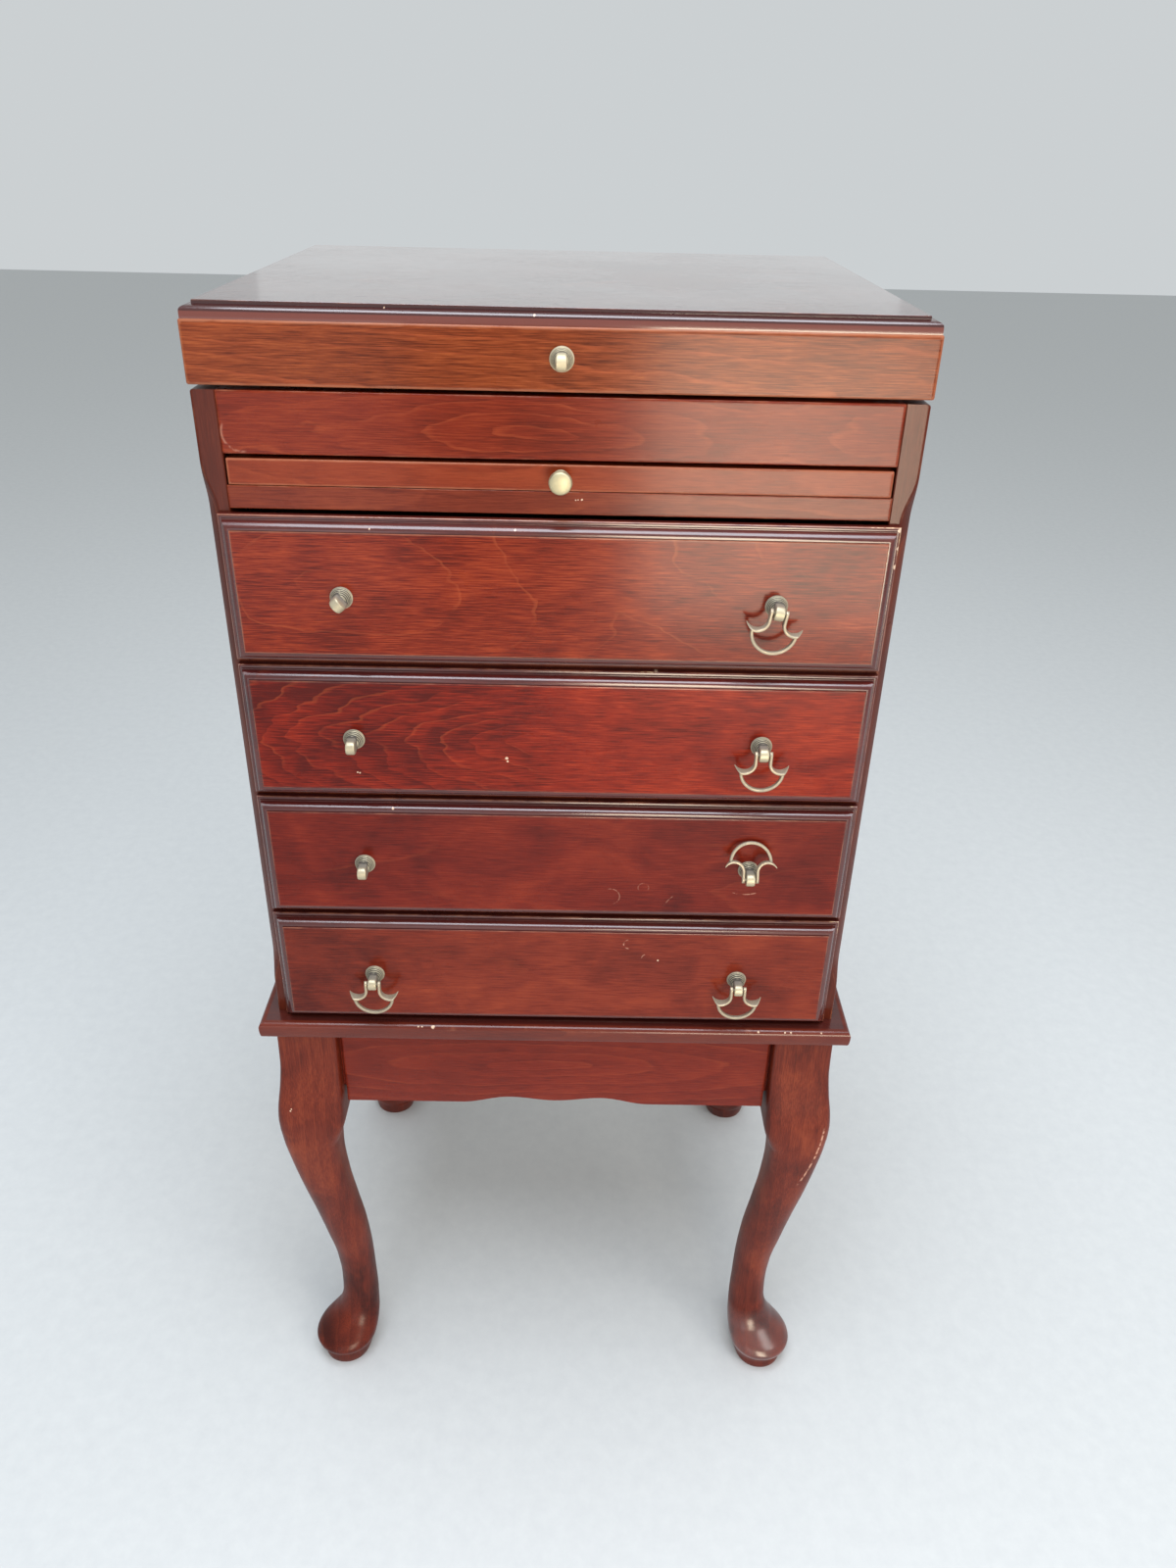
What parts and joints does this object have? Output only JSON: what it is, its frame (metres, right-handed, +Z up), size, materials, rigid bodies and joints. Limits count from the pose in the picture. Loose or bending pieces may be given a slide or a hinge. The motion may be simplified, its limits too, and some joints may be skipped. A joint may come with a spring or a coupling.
{
  "type": "jewelry cabinet",
  "caption": "Small mahogany jewelry chest on cabriole legs with a lift-up lid over a lined compartment, a pull-out slide, moulded drawers and brass bail pulls.",
  "frame": {"origin": "on the floor under the middle of the overall box", "axes": "X to the viewer's right, Y from the front to the back, Z up; the drawers open towards -Y"},
  "size_m": [0.476, 0.409, 0.9836],
  "materials": {
    "leg_wood": "red-brown mahogany stain under glossy lacquer, vertical grain",
    "apron_wood": "red-brown mahogany stain under glossy lacquer",
    "case_wood": "dark red-brown mahogany stain under glossy lacquer",
    "drawer_wood": "figured mahogany veneer under glossy lacquer, worn at the edges",
    "lid_wood": "orange-brown mahogany under glossy lacquer",
    "inner_wood": "plain secondary wood, waxed",
    "lining": "dark red felt",
    "pull_brass": "aged brass, dulled in the hollows",
    "hinge_brass": "satin brass"
  },
  "bodies": {
    "cabinet": {"leg_front_left": "leg_wood", "leg_front_right": "leg_wood", "leg_rear_left": "leg_wood", "leg_rear_right": "leg_wood", "apron_front": "apron_wood", "apron_back": "apron_wood", "apron_left": "apron_wood", "apron_right": "apron_wood", "corner_braces": "inner_wood", "base_plate": "apron_wood", "side_left": "case_wood", "side_right": "case_wood", "back_panel": "inner_wood", "back_rail": "inner_wood", "front_panel": "case_wood", "compartment_floor": "inner_wood", "compartment_lining": "lining", "slide_rail": "case_wood", "slide_guides": "inner_wood", "drawer_rails": "inner_wood", "drawer_runners": "inner_wood", "hinge_case_leaves": "hinge_brass", "hinge_pins": "hinge_brass"},
    "lid": {"lid_top": "lid_wood", "lid_front": "lid_wood", "lid_left": "lid_wood", "lid_right": "lid_wood", "lid_back": "lid_wood", "lid_lining": "lining", "lid_post": "pull_brass", "hinge_lid_leaves": "hinge_brass"},
    "slide": {"slide_front": "case_wood", "slide_board": "inner_wood", "slide_knob": "pull_brass"},
    "drawer_1": {"drawer_1_front": "drawer_wood", "drawer_1_sides": "inner_wood", "drawer_1_back": "inner_wood", "drawer_1_bottom": "lining", "drawer_1_posts": "pull_brass"},
    "drawer_2": {"drawer_2_front": "drawer_wood", "drawer_2_sides": "inner_wood", "drawer_2_back": "inner_wood", "drawer_2_bottom": "lining", "drawer_2_posts": "pull_brass"},
    "drawer_3": {"drawer_3_front": "drawer_wood", "drawer_3_sides": "inner_wood", "drawer_3_back": "inner_wood", "drawer_3_bottom": "lining", "drawer_3_posts": "pull_brass"},
    "drawer_4": {"drawer_4_front": "drawer_wood", "drawer_4_sides": "inner_wood", "drawer_4_back": "inner_wood", "drawer_4_bottom": "lining", "drawer_4_posts": "pull_brass"},
    "bail_1_right": {"bail_1_right": "pull_brass"},
    "bail_2_right": {"bail_2_right": "pull_brass"},
    "bail_3_right": {"bail_3_right": "pull_brass"},
    "bail_4_left": {"bail_4_left": "pull_brass"},
    "bail_4_right": {"bail_4_right": "pull_brass"}
  },
  "joints": [
    {"name": "lid_hinge", "type": "hinge", "parent": "cabinet", "child": "lid", "pos_m": [0, 0.1902, 0.9352], "axis": [-1, 0, 0], "range_deg": [0, 95]},
    {"name": "slide_pull", "type": "slide", "parent": "cabinet", "child": "slide", "axis": [0, -1, 0], "range_m": [0, 0.2]},
    {"name": "drawer_1_pull", "type": "slide", "parent": "cabinet", "child": "drawer_1", "axis": [0, -1, 0], "range_m": [0, 0.24]},
    {"name": "drawer_2_pull", "type": "slide", "parent": "cabinet", "child": "drawer_2", "axis": [0, -1, 0], "range_m": [0, 0.24]},
    {"name": "drawer_3_pull", "type": "slide", "parent": "cabinet", "child": "drawer_3", "axis": [0, -1, 0], "range_m": [0, 0.24]},
    {"name": "drawer_4_pull", "type": "slide", "parent": "cabinet", "child": "drawer_4", "axis": [0, -1, 0], "range_m": [0, 0.24]},
    {"name": "bail_1_right_swing", "type": "hinge", "parent": "drawer_1", "child": "bail_1_right", "pos_m": [0.1415, -0.2002, 0.8074], "axis": [-0.9877, 0, 0.1564], "range_deg": [-22, 202]},
    {"name": "bail_2_right_swing", "type": "hinge", "parent": "drawer_2", "child": "bail_2_right", "pos_m": [0.1415, -0.2002, 0.7041], "axis": [-1, 0, 0], "range_deg": [-22, 202]},
    {"name": "bail_3_right_swing", "type": "hinge", "parent": "drawer_3", "child": "bail_3_right", "pos_m": [0.1415, -0.2002, 0.6008], "axis": [-1, 0, 0], "range_deg": [-224, 0]},
    {"name": "bail_4_left_swing", "type": "hinge", "parent": "drawer_4", "child": "bail_4_left", "pos_m": [-0.1415, -0.2002, 0.4975], "axis": [-1, 0, 0], "range_deg": [-22, 202]},
    {"name": "bail_4_right_swing", "type": "hinge", "parent": "drawer_4", "child": "bail_4_right", "pos_m": [0.1415, -0.2002, 0.4975], "axis": [-1, 0, 0], "range_deg": [-22, 202]}
  ]
}
